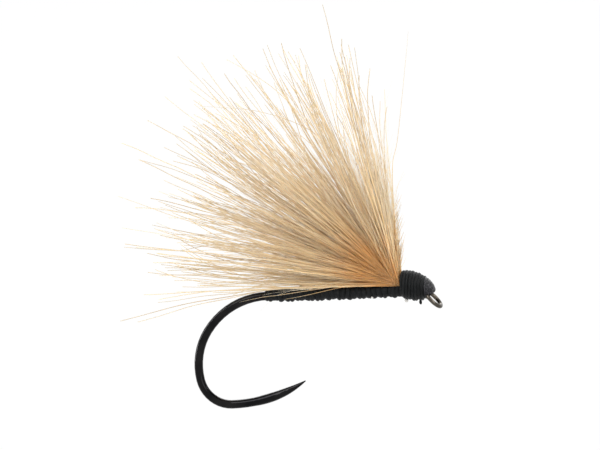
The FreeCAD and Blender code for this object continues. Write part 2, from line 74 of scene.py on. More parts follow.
WIRE_RADIUS = 0.2375
SHANK_LENGTH = 9.17
BEND_RADIUS = 4.33  # of the wire's centre line, just behind the shank
EYE_TILT = math.radians(48)  # of the ring's axis, forward from straight up
EYE_AXIS = np.array([math.sin(EYE_TILT), 0, math.cos(EYE_TILT)])
HEAD_REAR = -1.69
HEAD_LENGTH = 1.84
NOSE = HEAD_REAR + HEAD_LENGTH


# --- making meshes --------------------------------------------------------------------------------


def mesh_object(name, points, faces, uv=None, attributes=None):
    """A smooth mesh from points in millimetres.

    uv has one pair for each corner of each face, and each of attributes one value for each point.
    """
    mesh = bpy.data.meshes.new(name)
    mesh.from_pydata((np.asarray(points) * MM).tolist(), [], faces)
    mesh.validate()
    mesh.polygons.foreach_set("use_smooth", [True] * len(mesh.polygons))
    if uv is not None:
        layer = mesh.uv_layers.new(name="winding")
        layer.data.foreach_set("uv", np.asarray(uv, np.float32).ravel())
    for key, values in (attributes or {}).items():
        attribute = mesh.attributes.new(key, "FLOAT", "POINT")
        attribute.data.foreach_set("value", np.asarray(values, np.float32))
    mesh.update()
    piece = bpy.data.objects.new(name, mesh)
    bpy.context.scene.collection.objects.link(piece)
    return piece


def finish_piece(piece, material, slot, *nodes):
    """Gives a piece its material and hides the CAD nodes that it stands for; slot is not used."""
    piece.data.materials.append(material)
    if nodes:
        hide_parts(*nodes)
    return piece


# --- materials ------------------------------------------------------------------------------------


class Graph:
    """A short way to write the nodes of a material or of the world."""

    def __init__(self, owner, output_kind="ShaderNodeOutputMaterial"):
        owner.use_nodes = True
        self.owner = owner
        self.tree = owner.node_tree
        self.tree.nodes.clear()
        self.output = self.tree.nodes.new(output_kind)

    def node(self, kind, inputs=None, **settings):
        made = self.tree.nodes.new(kind)
        for key, value in settings.items():
            setattr(made, key, value)
        for key, value in (inputs or {}).items():
            if isinstance(value, bpy.types.NodeSocket):
                self.tree.links.new(value, made.inputs[key])
            else:
                made.inputs[key].default_value = value
        return made

    def ramp(self, factor, stops):
        made = self.node("ShaderNodeValToRGB", {"Fac": factor})
        elements = made.color_ramp.elements
        while len(elements) < len(stops):
            elements.new(0.5)
        for element, (place, colour) in zip(elements, stops):
            element.position = place
            element.color = (*colour, 1)
        return made.outputs["Color"]

    def mix(self, kind, factor, a, b):
        inputs = {0: factor, 6: a, 7: b}
        return self.node("ShaderNodeMix", inputs, data_type="RGBA", blend_type=kind).outputs[2]

    def calculate(self, operation, a, b):
        return self.node("ShaderNodeMath", {0: a, 1: b}, operation=operation).outputs[0]

    def rescale(self, value, to_low, to_high, low=0.0, high=1.0):
        inputs = {0: value, 1: low, 2: high, 3: to_low, 4: to_high}
        return self.node("ShaderNodeMapRange", inputs).outputs[0]

    def noise(self, vector, scale, detail=3.0, roughness=0.5):
        inputs = {"Vector": vector, "Scale": scale, "Detail": detail, "Roughness": roughness}
        return self.node("ShaderNodeTexNoise", inputs).outputs["Fac"]

    def bump(self, height, strength, distance):
        inputs = {"Height": height, "Strength": strength, "Distance": distance}
        return self.node("ShaderNodeBump", inputs).outputs["Normal"]

    def finish(self, shader):
        self.tree.links.new(shader.outputs[0], self.output.inputs["Surface"])
        return self.owner

    def surface(self, inputs):
        return self.finish(self.node("ShaderNodeBsdfPrincipled", inputs))


def material_graph(name):
    return Graph(bpy.data.materials.new(name))


RING_REACH, RING_FADE = 0.00045, 0.0011  # m from the eye's centre, where the ring's worn look fades


def black_nickel():
    """Smoked nickel plating, a little duller and browner on the ring, where it is handled."""
    g = material_graph("black_nickel_plating")
    place = g.node("ShaderNodeTexCoord").outputs["Object"]
    away = g.node("ShaderNodeVectorMath", {0: place}, operation="LENGTH").outputs["Value"]
    near_eye = g.rescale(away, 1.0, 0.0, low=RING_REACH, high=RING_FADE)
    mottle = g.noise(place, 900.0, 4.0, 0.6)
    dark = g.ramp(mottle, [(0.3, (0.009, 0.009, 0.010)), (0.7, (0.021, 0.020, 0.020))])
    worn = g.ramp(mottle, [(0.3, (0.045, 0.038, 0.030)), (0.7, (0.150, 0.132, 0.108))])
    colour = g.mix("MIX", near_eye, dark, worn)
    streaks = g.noise(place, 2600.0, 2.0, 0.5)
    return g.surface(
        {
            "Base Color": colour,
            "Metallic": 1.0,
            "Roughness": g.rescale(streaks, 0.05, 0.12),
            "Normal": g.bump(mottle, 0.12, 0.00001),
        }
    )


def black_thread(name, dark, light, roughness, coat):
    """Black thread: fine filaments run along the winding, with paler ones here and there."""
    g = material_graph(name)
    winding = g.node("ShaderNodeUVMap", uv_map="winding").outputs["UV"]
    drawn_out = g.node("ShaderNodeMapping", {"Vector": winding, "Scale": (26.0, 9.0, 1.0)})
    filaments = g.noise(drawn_out.outputs[0], 1.0, 4.0, 0.65)
    patches = g.noise(g.node("ShaderNodeTexCoord").outputs["Object"], 2600.0, 2.0, 0.5)
    dark_share = g.ramp(patches, [(0.35, (0.0, 0.0, 0.0)), (0.75, (0.6, 0.6, 0.6))])
    fibres = g.ramp(filaments, [(0.44, dark), (0.74, light)])
    colour = g.mix("MIX", dark_share, fibres, (*dark, 1))
    return g.surface(
        {
            "Base Color": colour,
            "Roughness": roughness,
            "Specular IOR Level": 0.18,
            "Sheen Weight": 0.01,
            "Sheen Roughness": 0.4,
            "Coat Weight": coat,
            "Coat Roughness": 0.12,
            "Normal": g.bump(filaments, 0.7, 0.00002),
        }
    )


def hair_material(name, stops, spread, roughness=0.42):
    """Hair: a colour by distance from the tie-in, partly painted light, a tone for each hair and faint
    bands along it.
    """
    g = material_graph(name)
    reach = g.node("ShaderNodeAttribute", attribute_name="reach").outputs["Fac"]
    tone = g.node("ShaderNodeAttribute", attribute_name="tone").outputs["Fac"]
    bands = g.noise(g.node("ShaderNodeTexCoord").outputs["Object"], 1400.0, 2.0, 0.5)
    colour = g.ramp(reach, stops)
    shade = g.ramp(tone, [(0.0, (1 - spread,) * 3), (1.0, (1 + spread * 0.6,) * 3)])
    colour = g.mix("MULTIPLY", 1.0, colour, shade)
    faint = g.ramp(bands, [(0.3, (0.90, 0.87, 0.84)), (0.7, (1.0, 1.0, 1.0))])
    colour = g.mix("MULTIPLY", 1.0, colour, faint)
    return g.surface(
        {
            "Base Color": colour,
            "Roughness": roughness,
            "Specular IOR Level": 0.30,
            "Subsurface Weight": 0.35,
            "Subsurface Radius": (1.0, 0.7, 0.4),
            "Subsurface Scale": 0.0002,
            "Sheen Weight": 0.10,
            "Sheen Roughness": 0.5,
            "Normal": g.bump(bands, 0.15, 0.000004),
        }
    )


def varnish(name, low, high, transmission, grain_scale):
    """Dried varnish: glossy and finely pitted, so that it glints in specks; its colour is paler in the
    same specks, and on the dark varnish these grey specks are painted glints.
    """
    g = material_graph(name)
    grain = g.noise(g.node("ShaderNodeTexCoord").outputs["Object"], grain_scale, 3.0, 0.6)
    return g.surface(
        {
            "Base Color": g.ramp(grain, [(0.50, low), (0.74, high)]),
            "Roughness": g.rescale(grain, 0.05, 0.26),
            "Specular IOR Level": 0.28,
            "Transmission Weight": transmission,
            "IOR": 1.49,
            "Normal": g.bump(grain, 0.9, 0.00004),
        }
    )


NICKEL = black_nickel()
THREAD = black_thread(
    "dull_black_thread", (0.0008, 0.0010, 0.0012), (0.022, 0.027, 0.029), roughness=0.50, coat=0.0
)
VARNISHED = black_thread(
    "varnished_thread", (0.002, 0.002, 0.004), (0.050, 0.048, 0.062), roughness=0.30, coat=0.5
)
# Colours by distance from the tie-in, as a share of REACH_SCALE. They are partly the hair's own colour,
# deep orange-brown near the root and pale towards the tip, and partly painted light: all are lighter to
# stand in for light shining through the hair, and the middle stops are brighter still against the shade
# that the dense hair casts on itself.
HAIR_STOPS_WITH_PAINTED_LIGHT = [
    (0.00, (0.400, 0.180, 0.062)),
    (0.14, (0.700, 0.340, 0.110)),
    (0.30, (0.840, 0.590, 0.330)),
    (0.55, (0.740, 0.570, 0.385)),
    (1.00, (0.700, 0.540, 0.360)),
]
FUR_STOPS_WITH_PAINTED_LIGHT = [
    (0.00, (0.540, 0.240, 0.080)),
    (0.15, (0.880, 0.440, 0.140)),
    (0.25, (0.970, 0.720, 0.380)),
    (0.38, (0.970, 0.830, 0.570)),
    (1.00, (0.960, 0.910, 0.790)),
]
HAIR = hair_material("tan_guard_hair", HAIR_STOPS_WITH_PAINTED_LIGHT, spread=0.38)
FUR = hair_material("golden_underfur", FUR_STOPS_WITH_PAINTED_LIGHT, spread=0.10, roughness=0.55)
# The grey specks in this varnish's colour are painted glints on the black head.
DARK_VARNISH = varnish(
    "varnish_over_black_thread", (0.0012, 0.0012, 0.0025), (0.055, 0.054, 0.064),
    transmission=0.0, grain_scale=9000.0,
)
PALE_DROP = varnish(
    "milky_varnish", (0.74, 0.72, 0.68), (0.95, 0.95, 0.95), transmission=0.35, grain_scale=5200.0
)


# --- hook and what is hidden ----------------------------------------------------------------------

for node_name, material in (("hook", NICKEL), ("thread_base", THREAD), ("wing_butts", HAIR)):
    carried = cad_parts[node_name]
    carried.data.materials.clear()
    carried.data.materials.append(material)


# --- wound thread ---------------------------------------------------------------------------------

EYE_WAY = 0.47  # beside the ring, nothing of the head comes nearer to the eye's axis than this
NOSE_WAY = 0.33  # the same further out, where the nose crowds the eye
RING_BELOW, RING_TOP, NARROWING = -0.16, 0.12, 0.25  # along the axis: the ring, and the way's taper
AXIS_MARGIN = 0.02  # nearer to the axis than this, a point is pushed as if it stood here


def clear_of_eye(points, lift):
    """Pushes points that stand in front of the eye's hole out towards its edge."""
    along = points @ EYE_AXIS
    across = points - along[:, None] * EYE_AXIS
    away = np.linalg.norm(across, axis=1)
    past_ring = np.clip((along - RING_TOP) / NARROWING, 0, 1)
    gap = EYE_WAY - lift - (EYE_WAY - NOSE_WAY) * past_ring
    inside = (away < gap) & (along > RING_BELOW)
    pushed = points.copy()
    growth = gap / np.maximum(away, AXIS_MARGIN) - 1
    pushed[inside] += across[inside] * growth[inside, None]
    return pushed


def winding_height(x, phi, rear, pitch, lean, radius, filaments):
    """How far a turn stands proud at places on the core, 0 to about 1, and where it is on the thread.

    The turns wander a little to and fro, stand unevenly high, and show the thread's twist.
    """
    wander = 0.10 * np.sin(3 * phi + 2.3 * x) + 0.09 * np.sin(2 * phi - 5.1 * x + 1.0)
    turn = (x - rear + radius * np.cos(phi) * math.tan(lean)) / pitch - phi / TAU + wander
    number = np.floor(turn)
    part = turn - number
    run = number + phi / TAU
    crown = 1 - (2 * part - 1) ** 2
    uneven = 0.86 + 0.20 * np.sin(2.9 * run) + 0.14 * np.sin(7.3 * run + 0.6)
    twist = 0.10 * np.cos(TAU * (filaments * part + 1.7 * run)) * crown
    return crown**0.62 * uneven + twist, turn, run


END_SIZE = 0.72  # how large a wound piece is at its ends, where its turns run down to the wire


def wound(name, rear, front, turns, centre, radius, ridge, lean=0.0, lift=0.0, lumps=None,
          filaments=4, around=112, per_turn=14, ends=(0.10, 0.10)):
    """A closed piece whose skin is one thread wound side by side from rear to front."""
    pitch = (front - rear) / turns
    rows = turns * per_turn + 1
    x_row = np.linspace(rear, front, rows)
    phi_row = np.linspace(0, TAU, around, endpoint=False)
    x, phi = np.meshgrid(x_row, phi_row, indexing="ij")
    core = np.array([radius(here) for here in x_row])[:, None]
    height, turn, run = winding_height(x, phi, rear, pitch, lean, core, filaments)
    out = core - ridge + ridge * height + lift
    if lumps is not None:
        out = out + lumps(x, phi)
    for edge, length in ((x - rear, ends[0]), (front - x, ends[1])):
        near = np.clip(edge / length, 0, 1)
        out = out * (END_SIZE + (1 - END_SIZE) * np.sqrt(1 - (1 - near) ** 2))
    z = np.array([centre(here) for here in x_row])[:, None]
    grid = np.stack([x, out * np.sin(phi), z + out * np.cos(phi)], axis=-1).reshape(-1, 3)
    grid = clear_of_eye(grid, lift)
    tips = np.array([[rear, 0, centre(rear)], [front, 0, centre(front)]])
    points = np.vstack([grid, clear_of_eye(tips, lift)])
    row = np.arange(rows - 1)[:, None] * around
    here = np.arange(around)[None, :]
    there = (here + 1) % around
    quads = np.stack([row + here, row + there, row + around + there, row + around + here], axis=-1)
    faces = quads.reshape(-1, 4).tolist()
    place = np.stack([turn, run], axis=-1).reshape(-1, 2)
    uv = place[np.array(faces)].reshape(-1, 2)
    rear_tip, front_tip = rows * around, rows * around + 1
    last = (rows - 1) * around
    ring = list(range(around))
    faces += [[rear_tip, (k + 1) % around, k] for k in ring]
    faces += [[front_tip, last + k, last + (k + 1) % around] for k in ring]
    uv = np.vstack([uv, np.zeros((6 * around, 2))])
    return mesh_object(name, points, faces, uv)


SWELL_LENGTH = 1.7  # mm from the body's rear end over which it swells
REAR_RADIUS, BODY_SWELL, BODY_RISE, FRONT_TAPER = 0.33, 0.135, 0.08, 0.030
HEAD_RADIUS, HEAD_REAR_RADIUS, HEAD_WIDEST = 0.81, 0.775, 0.25  # the last as a share of its length
NOSE_SIZE = 0.14  # the nose's radius as a share of the head's
HEAD_RISE, HEAD_DROOP = 0.348, 0.41  # of the head's centre: above the shank at the rear, then down
THORAX_RADIUS = 0.425


def swell(x):
    return 1 - math.exp(-(x - BODY_LOW[0]) / SWELL_LENGTH)


def body_centre(x):
    return SHANK_Z + BODY_RISE * swell(x)


def body_radius(x):
    share = (x - BODY_LOW[0]) / (BODY_HIGH[0] - BODY_LOW[0])
    return REAR_RADIUS + BODY_SWELL * swell(x) - FRONT_TAPER * max(2 * share - 1, 0)


def head_share(x):
    return (x - HEAD_REAR) / HEAD_LENGTH


def head_centre(x):
    share = max(head_share(x), 0)
    return SHANK_Z + HEAD_RISE - HEAD_DROOP * (share + 3 * share**2) / 4


def head_radius(x):
    share = head_share(x)
    if share < HEAD_WIDEST:
        growth = HEAD_RADIUS - HEAD_REAR_RADIUS
        return HEAD_REAR_RADIUS + growth * math.sin(math.pi / 2 * share / HEAD_WIDEST)
    past = (share - HEAD_WIDEST) / (1 - HEAD_WIDEST)
    return HEAD_RADIUS * max(math.sqrt(max(1 - past**2, 0)), NOSE_SIZE)


def body_lumps(x, phi):
    """The body's turns pull unevenly, most along its underside."""
    under = np.clip(-np.cos(phi), 0, 1) ** 2
    return 0.014 * np.sin(4.1 * x + phi) + 0.022 * under * np.sin(TAU * x / 0.58)


def head_lumps(x, phi):
    """The head is a little uneven all over, and its underside bulges by the eye."""
    under = np.clip(-np.cos(phi), 0, 1) ** 4
    return 0.012 * np.sin(5.2 * x + 2 * phi) - 0.040 * under * np.cos(TAU * (x + 1.62) / 0.40)


WHIP_START = HEAD_REAR + HEAD_LENGTH * 8 / 11  # the whip finish is the last three turns of eleven
OVERLAP = 0.02  # mm that the whip finish and its varnish reach over what lies next to them
FILM_LIFT = 0.012  # mm of varnish over the thread

body = wound(
    "wound_abdomen", BODY_LOW[0], BODY_HIGH[0], turns=24, centre=body_centre, radius=body_radius,
    ridge=0.100, lean=math.radians(9), lumps=body_lumps, ends=(0.22, 0.03),
)
finish_piece(body, THREAD, "black_thread", "abdomen_wraps")
thorax = wound(
    "wound_thorax", THORAX_LOW[0], THORAX_HIGH[0], turns=3, centre=body_centre,
    radius=lambda x: THORAX_RADIUS, ridge=0.075, lean=math.radians(6), lumps=body_lumps,
    ends=(0.03, 0.03),
)
finish_piece(thorax, THREAD, "black_thread", "thorax_wraps")
head = wound(
    "wound_head", HEAD_REAR, WHIP_START, turns=8, centre=head_centre, radius=head_radius,
    ridge=0.085, lean=math.radians(-3), lumps=head_lumps, ends=(0.05, 0.02),
)
finish_piece(head, THREAD, "black_thread", "head_wraps")
whip = wound(
    "wound_whip_finish", WHIP_START - OVERLAP, NOSE, turns=4, centre=head_centre,
    radius=head_radius, ridge=0.050, lean=math.radians(-8), lumps=head_lumps, ends=(0.02, 0.10),
)
finish_piece(whip, VARNISHED, "black_thread", "whip_finish")
film = wound(
    "varnish_film", WHIP_START - OVERLAP, NOSE + OVERLAP, turns=5, centre=head_centre,
    radius=head_radius, ridge=0.040, lean=math.radians(-8), lift=FILM_LIFT, lumps=head_lumps,
    ends=(0.10, 0.10),
)
finish_piece(film, DARK_VARNISH, "clear_varnish", "head_cement")
for piece in (body, thorax, head, whip, film):
    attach(piece, "fly")


# --- drops and the thread's end -------------------------------------------------------------------


def drop(name, node, stretch, rise, lumpiness, seed):
    """A lumpy drop as large as a CAD node's box, longer by stretch and with its top raised by rise."""
    low, high = corners(node)
    high[2] += rise
    middle, half = (low + high) / 2, (high - low) / 2
    bumps = np.random.default_rng(seed).normal(size=(5, 3))
    rings, around = 24, 36
    latitude = np.linspace(0, math.pi, rings + 1)[1:-1]
    phi = np.linspace(0, TAU, around, endpoint=False)
    lat, lon = np.meshgrid(latitude, phi, indexing="ij")
    skin = np.stack([np.sin(lat) * np.cos(lon), np.sin(lat) * np.sin(lon), np.cos(lat)], axis=-1)
    skin = np.vstack([skin.reshape(-1, 3), [[0, 0, 1], [0, 0, -1]]])
    swelling = 1 + lumpiness * np.sin(skin @ bumps.T * 2.4).mean(axis=1)
    points = middle + skin * half * swelling[:, None] * np.array([stretch, 1, 1])
    rows = rings - 1
    faces = []
    for j in range(around):
        after = (j + 1) % around
        for i in range(rows - 1):
            a, b = i * around, (i + 1) * around
            faces.append([a + j, b + j, b + after, a + after])
        faces.append([rows * around, j, after])
        faces.append([rows * around + 1, (rows - 1) * around + after, (rows - 1) * around + j])
    return mesh_object(name, points, faces, np.zeros((sum(map(len, faces)), 2)))


for name, node, stretch, rise, lumpiness, material, slot, seed in (
    ("varnish_run", "varnish_bead", 1.25, 0.05, 0.10, PALE_DROP, "clear_varnish", 3),
    ("glue_drop", "glue_spot", 1.3, 0.0, 0.15, PALE_DROP, "clear_varnish", 5),
    ("thread_end", "thread_tag", 1.6, 0.12, 0.35, THREAD, "black_thread", 7),
):
    piece = finish_piece(drop(name, node, stretch, rise, lumpiness, seed), material, slot, node)
    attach(piece, "fly")


# --- hair -----------------------------------------------------------------------------------------

REACH_SCALE = 17.0  # mm from the tie-in at which the colour is the palest
LASH_ARC = math.radians(46)  # how far down each side of the body's top the lashed hairs reach


def strands(name, paths, thickness, sides, tone, tip=0.25, pale=0.0):
    """One mesh of many tapered hairs.

    paths is hairs x points x 3, and thickness each hair's diameter at its root, of which its tip keeps
    the share tip.  tone, one for each hair, sets how dark it is; pale makes all of them paler.
    """
    hairs, points, _ = paths.shape
    share = np.linspace(0, 1, points)
    radius = thickness[:, None] / 2 * (1 - (1 - tip) * share[None, :] ** 1.6)
    ahead = np.gradient(paths, axis=1)
    ahead /= np.linalg.norm(ahead, axis=2, keepdims=True)
    chord = paths[:, -1] - paths[:, 0]
    mostly_along = np.abs(chord[:, 1:2]) < 0.7 * np.linalg.norm(chord, axis=1, keepdims=True)
    other = np.where(mostly_along, np.array([[0.0, 1.0, 0.0]]), np.array([[1.0, 0.0, 0.0]]))
    side = np.cross(ahead, other[:, None, :])
    side /= np.linalg.norm(side, axis=2, keepdims=True)
    up = np.cross(side, ahead)
    angle = np.arange(sides) * TAU / sides
    ring = (np.cos(angle)[None, None, :, None] * side[:, :, None, :]
            + np.sin(angle)[None, None, :, None] * up[:, :, None, :])
    skin = paths[:, :, None, :] + ring * radius[:, :, None, None]
    base = (np.arange(hairs) * points * sides)[:, None, None]
    level = (np.arange(points - 1) * sides)[None, :, None]
    here = np.arange(sides)[None, None, :]
    there = (here + 1) % sides
    low = base + level
    quads = np.stack([low + here, low + there, low + sides + there, low + sides + here], axis=-1)
    faces = quads.reshape(-1, 4).tolist()
    foot = base.reshape(-1, 1) + np.arange(sides)[::-1][None, :]
    end = base.reshape(-1, 1) + (points - 1) * sides + np.arange(sides)[None, :]
    faces += foot.tolist() + end.tolist()
    reach = np.linalg.norm(paths - TIE_IN, axis=2) / REACH_SCALE + pale
    attributes = {
        "reach": np.repeat(reach.ravel(), sides),
        "tone": np.repeat(tone, points * sides),
    }
    return mesh_object(name, skin.reshape(-1, 3), faces, attributes=attributes)


def fan_direction(fan, splay):
    """Unit vectors.  fan is the angle up from straight ahead, splay the lean across, in radians."""
    return np.stack([np.cos(fan) * np.cos(splay), np.sin(splay), np.sin(fan) * np.cos(splay)], axis=-1)


def lash_point(side, rng):
    """Where hairs leave the lashing: on an arc over the body, from side -1, near, to 1, far."""
    over = LASH_ARC * np.clip(side + rng.normal(0, 0.16, side.shape), -1.1, 1.1)
    out = rng.uniform(0.40, 0.62, side.shape)
    x = rng.uniform(-1.98, -1.74, side.shape)
    return np.stack([x, out * np.sin(over), SHANK_Z + 0.06 + out * np.cos(over)], axis=-1)


def grow(rng, count, fan, splay, length, side, points, bend, wave):
    """Paths of hairs from the lashing: straight at heart, each with its own bend, hook and crimp."""
    share = np.linspace(0, 1, points)[None, :, None]
    start = lash_point(side, rng)
    along = fan_direction(fan, splay)
    turn = fan_direction(fan + math.pi / 2, np.zeros(count))
    across = np.cross(along, turn)
    size = length[:, None, None]
    path = start[:, None, :] + along[:, None, :] * share * size
    bow = rng.normal(0, bend, (count, 1, 1))
    lean = rng.normal(0, bend * 0.7, (count, 1, 1))
    hook = rng.normal(0, bend * 1.6, (count, 1, 1)) * (rng.random((count, 1, 1)) < 0.6)
    curve = bow * (share**2 - share * 0.6) + hook * np.clip(share - 0.62, 0, 1) ** 2 * 4
    path = path + turn[:, None, :] * curve * size + across[:, None, :] * lean * share**2 * size
    pace = TAU * size / rng.uniform(2.2, 5.5, (count, 1, 1))
    crimp = wave * rng.uniform(0.4, 1.0, (count, 1, 1)) * np.clip(share * size / 2, 0, 1)
    phase = rng.uniform(0, TAU, (count, 1, 1))
    path = path + turn[:, None, :] * crimp * np.sin(pace * share + phase)
    phase = rng.uniform(0, TAU, (count, 1, 1))
    return path + across[:, None, :] * crimp * np.sin(pace * share * 0.8 + phase)


LOCK_SIDES = {
    2: (("near", -1), ("far", 1)),
    3: (("near", -1), ("middle", 0), ("far", 1)),
}
# For each row, front first: locks across, splay of a side lock in degrees, length in mm, number of guard
# hairs, number of underfur hairs, and how much paler than the rest.
ROWS = (
    (2, 7.0, 12.3, 26, 170, 0.16),
    (3, 14.0, 15.2, 72, 330, 0.10),
    (2, 7.0, 15.4, 78, 360, 0.04),
    (3, 14.0, 16.6, 105, 400, 0.0),
    (2, 7.0, 16.4, 104, 400, 0.0),
    (3, 14.0, 15.8, 126, 400, 0.02),
    (2, 4.0, 14.9, 88, 200, 0.06),
    (2, 9.0, 14.4, 4, 6, 0.10),
)
FIRST_FAN, LAST_FAN = 92.0, 186.0  # degrees up from straight ahead
FAN_STEP = (LAST_FAN - FIRST_FAN) / (len(ROWS) - 1)
GUARD_THICKNESS, FUR_THICKNESS = (0.040, 0.062), (0.018, 0.028)  # mm, thinnest and thickest
GUARD_POINTS, FUR_POINTS = 26, 18  # along each hair
GUARD_BEND, LAST_ROW_BEND, FUR_BEND = 0.045, 0.010, 0.075  # as a share of a hair's length
GUARD_WAVE, FUR_WAVE = 0.030, 0.075  # mm of crimp
GUARD_LEAN, FUR_LEAN = 15.5, 16.0  # degrees, the most that a hair leans across
LOWEST_GUARD, LOWEST_FUR = LAST_FAN - 4.5, LAST_FAN - 6.0  # so that they stay off the body
LOCK_PLACE = 0.72  # where a side lock's hairs leave the lashing, as a share of its arc
# Long hairs that break the outline: fan angle, length in mm, bow as a share of it, lean across.
LONG_HAIRS = (
    (97, 11.4, 0.02, -2), (99, 13.1, 0.05, 3), (103, 15.6, 0.03, -1), (104, 13.4, 0.05, 4),
    (109.5, 13.6, -0.04, 2), (112, 13.4, 0.03, -5), (118.5, 15.1, 0.06, 1), (122, 15.2, 0.05, -3),
    (126, 14.0, 0.03, 5), (131, 17.0, -0.02, -1), (133.5, 15.9, 0.03, 4), (139, 16.2, 0.03, -4),
    (142, 14.6, 0.05, 2), (145, 13.9, -0.03, -6), (151, 17.1, 0.02, 1), (152.5, 15.4, 0.04, -3),
    (155.5, 14.2, -0.02, 5), (159, 15.0, 0.03, -2), (163, 16.2, 0.05, 1), (165.5, 13.6, -0.03, -6),
    (167.5, 16.1, 0.04, 2), (168.5, 15.2, -0.03, -4), (171, 15.8, 0.05, 4), (172.5, 14.1, -0.02, -1),
    (175, 13.2, 0.03, 3), (177.5, 12.3, -0.03, -5), (179, 12.8, 0.02, 2), (181.5, 14.3, 0.03, -3),
    (183.5, 13.6, 0.08, 3), (185, 15.6, 0.13, -4), (186.5, 14.5, 0.14, -3),
)


def row_of(fan):
    """The row nearest to an angle."""
    return int(np.clip(round((fan - FIRST_FAN) / FAN_STEP), 0, len(ROWS) - 1))


def row_angle(row):
    return FIRST_FAN + FAN_STEP * row


def bend_with_row(piece):
    """Bakes a piece's place into its mesh."""
    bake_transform(piece)


def grow_guard_hairs(rng, row, lock_name, side):
    """Stout hairs in loose clumps that share an angle and a length, and this lock's long hairs."""
    locks, splay, length, guards, _fur, pale = ROWS[row]
    bend = LAST_ROW_BEND if row == len(ROWS) - 1 else GUARD_BEND
    count = guards // locks
    clumps = max(3, count // 4)
    clump = rng.integers(0, clumps, count)
    fan = row_angle(row) + rng.uniform(-0.62, 0.62, clumps)[clump] * FAN_STEP
    fan = fan + rng.normal(0, 1.2, count)
    fan = np.maximum(fan, FIRST_FAN + 1.5 + rng.exponential(2.0, count))
    fan = np.minimum(fan, LOWEST_GUARD - rng.exponential(3.0, count))
    lean = side * splay + rng.normal(0, 4.2, clumps)[clump] + rng.normal(0, 0.8, count)
    size = length * (0.42 + 0.58 * rng.beta(1.8, 1.4, clumps)[clump])
    size = size * rng.uniform(0.80, 1.00, count)
    lean = np.clip(lean, -GUARD_LEAN, GUARD_LEAN)
    bows = rng.normal(0, bend, clumps)[clump] + rng.normal(0, 0.012, count)
    for spot, (angle, reach, bow, tilt) in enumerate(LONG_HAIRS):
        own = LOCK_SIDES[locks][spot % locks][1]
        if row_of(angle) == row and own == side:
            fan = np.append(fan, angle)
            lean = np.append(lean, tilt)
            size = np.append(size, reach)
            bows = np.append(bows, bow)
    count = len(fan)
    across = np.clip(side * LOCK_PLACE + rng.normal(0, 0.22, count), -1, 1)
    path = grow(rng, count, np.radians(fan), np.radians(lean), size, across,
                GUARD_POINTS, bend, GUARD_WAVE)
    share = np.linspace(0, 1, GUARD_POINTS)[None, :, None]
    turn = fan_direction(np.radians(fan) + math.pi / 2, np.zeros(count))[:, None, :]
    path = path + turn * bows[:, None, None] * (share**2 - share) * size[:, None, None]
    thick = rng.uniform(*GUARD_THICKNESS, count)
    piece = strands(f"hair_{lock_name}", path, thick, 5, rng.random(count), tip=0.6, pale=pale)
    return finish_piece(piece, HAIR, "wing_hair", f"wing_hair_{lock_name}")


def grow_underfur(rng, row, lock_name, side):
    """Fine pale hairs, shorter and wavier, that fill the lock."""
    locks, splay, length, _guards, fur, pale = ROWS[row]
    count = fur // locks
    fan = row_angle(row) + rng.normal(0, 0.46, count) * FAN_STEP
    lean = np.clip(side * splay * 0.8 + rng.normal(0, 5.5, count), -FUR_LEAN, FUR_LEAN)
    fan = np.maximum(fan, FIRST_FAN + 0.5 + rng.exponential(2.0, count))
    fan = np.minimum(fan, LOWEST_FUR - rng.exponential(3.0, count))
    size = length * (0.14 + 0.66 * rng.beta(1.4, 2.0, count))
    across = np.clip(side * LOCK_PLACE + rng.normal(0, 0.30, count), -1, 1)
    path = grow(rng, count, np.radians(fan), np.radians(lean), size, across,
                FUR_POINTS, FUR_BEND, FUR_WAVE)
    thick = rng.uniform(*FUR_THICKNESS, count)
    piece = strands(f"underfur_{lock_name}", path, thick, 4, rng.random(count), pale=pale)
    return finish_piece(piece, FUR, "wing_hair")


def grow_lock(row, lock_name, side):
    """The guard hairs and the underfur of one lock, as two pieces."""
    rng = np.random.default_rng(100 * row + 10 * side + 50)
    guard = grow_guard_hairs(rng, row, lock_name, side)
    under = grow_underfur(rng, row, lock_name, side)
    for piece in (guard, under):
        if row == len(ROWS) - 1:
            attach(piece, "fly")
        else:
            bend_with_row(piece)


for row, (locks, *_rest) in enumerate(ROWS):
    for side_name, side in LOCK_SIDES[locks]:
        grow_lock(row, f"row{row + 1}_{side_name}", side)


def make_lashing():
    """Hair under the last turns: it comes out of the head's rear face and fans out over the body."""
    rng = np.random.default_rng(11)
    count = 260
    side = rng.uniform(-1, 1, count)
    over = LASH_ARC * side
    out = rng.uniform(0.40, 0.66, count)
    start = np.stack([rng.uniform(-1.64, -1.60, count), out * np.sin(over),
                      SHANK_Z + 0.08 + out * np.cos(over)], axis=-1)
    fan = np.radians(rng.uniform(94, 180, count))
    lean = np.radians(side * 12 + rng.normal(0, 5, count))
    size = rng.uniform(0.9, 3.2, count)
    share = np.linspace(0, 1, 14)[None, :, None]
    away = fan_direction(fan, lean)[:, None, :]
    back = np.array([-1.0, 0, 0])[None, None, :]
    freed = share**1.5  # how far a hair has turned from lying back to standing in the fan
    lying = back * (1 - freed) * 0.45 * np.minimum(share * 3, 1)
    path = start[:, None, :] + lying + away * freed * size[:, None, None]
    piece = strands("lashed_hair", path, rng.uniform(0.030, 0.046, count), 5, rng.random(count))
    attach(finish_piece(piece, HAIR, "wing_hair", "wing_root"), "fly")


make_lashing()


def smooth_path(points, count):
    """A smooth line through a few points (Catmull-Rom)."""
    knots = np.array([2 * points[0] - points[1], *points, 2 * points[-1] - points[-2]])
    out = []
    for t in np.linspace(0, len(points) - 1, count):
        i = min(int(t), len(points) - 2)
        u = t - i
        a, b, c, d = knots[i:i + 4]
        out.append(0.5 * (2 * b + (c - a) * u + (2 * a - 5 * b + 4 * c - d) * u**2
                          + (3 * b - a - 3 * c + d) * u**3))
    return np.array(out)


SIDE_HAIR_GAP = 0.05  # mm from the body's or the wire's skin to the middle of a hair beside it


